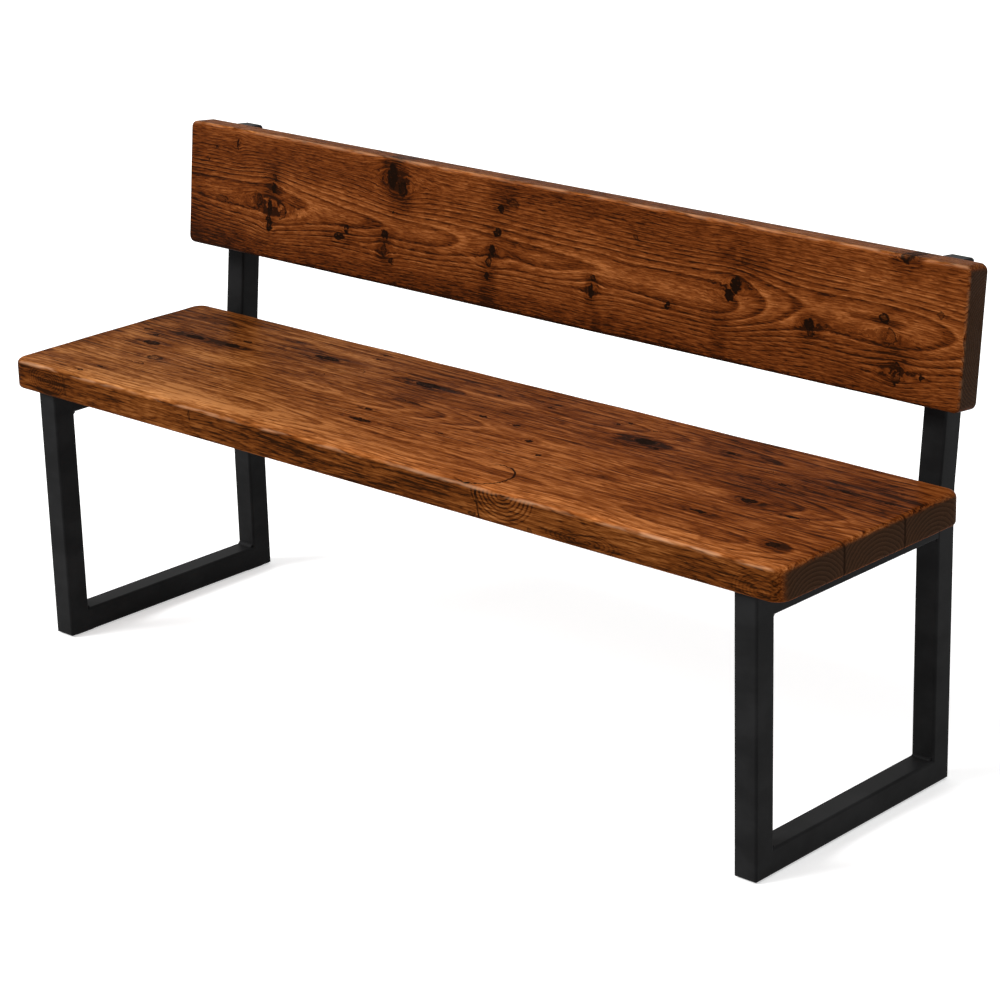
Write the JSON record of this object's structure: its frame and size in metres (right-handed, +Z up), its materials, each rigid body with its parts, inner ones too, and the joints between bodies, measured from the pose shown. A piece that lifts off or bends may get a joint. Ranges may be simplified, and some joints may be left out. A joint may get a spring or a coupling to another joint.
{
  "type": "bench",
  "caption": "Long bench with a low reclined backrest: thick dark-stained softwood boards on welded black square-tube steel side frames.",
  "frame": {"origin": "on the floor, under the middle of the whole bench", "axes": "+X along the bench to the sitter's left hand side as seen from the front (right in the picture), +Y from front to back, +Z up"},
  "size_m": [1.6, 0.5114, 0.8031],
  "materials": {
    "stained_pine": "dark-stained knotty pine, satin wax",
    "tongue_plywood": "plain plywood strip",
    "black_powder_coat": "satin black powder coat",
    "black_plastic": "moulded black plastic",
    "dark_zinc": "dark zinc plating",
    "black_rubber": "matt rubber"
  },
  "bodies": {
    "root": {"seat_board_front": "stained_pine", "seat_board_middle": "stained_pine", "seat_board_rear": "stained_pine", "backrest_board": "stained_pine", "seat_tongue_1": "tongue_plywood", "seat_tongue_2": "tongue_plywood", "left_front_leg": "black_powder_coat", "left_bottom_rail": "black_powder_coat", "left_rear_leg": "black_powder_coat", "left_top_rail": "black_powder_coat", "left_back_post": "black_powder_coat", "left_frame_welds": "black_powder_coat", "left_post_cap": "black_plastic", "left_seat_screws": "dark_zinc", "left_back_screws": "dark_zinc", "front_left_foot": "black_rubber", "rear_left_foot": "black_rubber", "right_front_leg": "black_powder_coat", "right_bottom_rail": "black_powder_coat", "right_rear_leg": "black_powder_coat", "right_top_rail": "black_powder_coat", "right_back_post": "black_powder_coat", "right_frame_welds": "black_powder_coat", "right_post_cap": "black_plastic", "right_seat_screws": "dark_zinc", "right_back_screws": "dark_zinc", "front_right_foot": "black_rubber", "rear_right_foot": "black_rubber"}
  },
  "joints": []
}
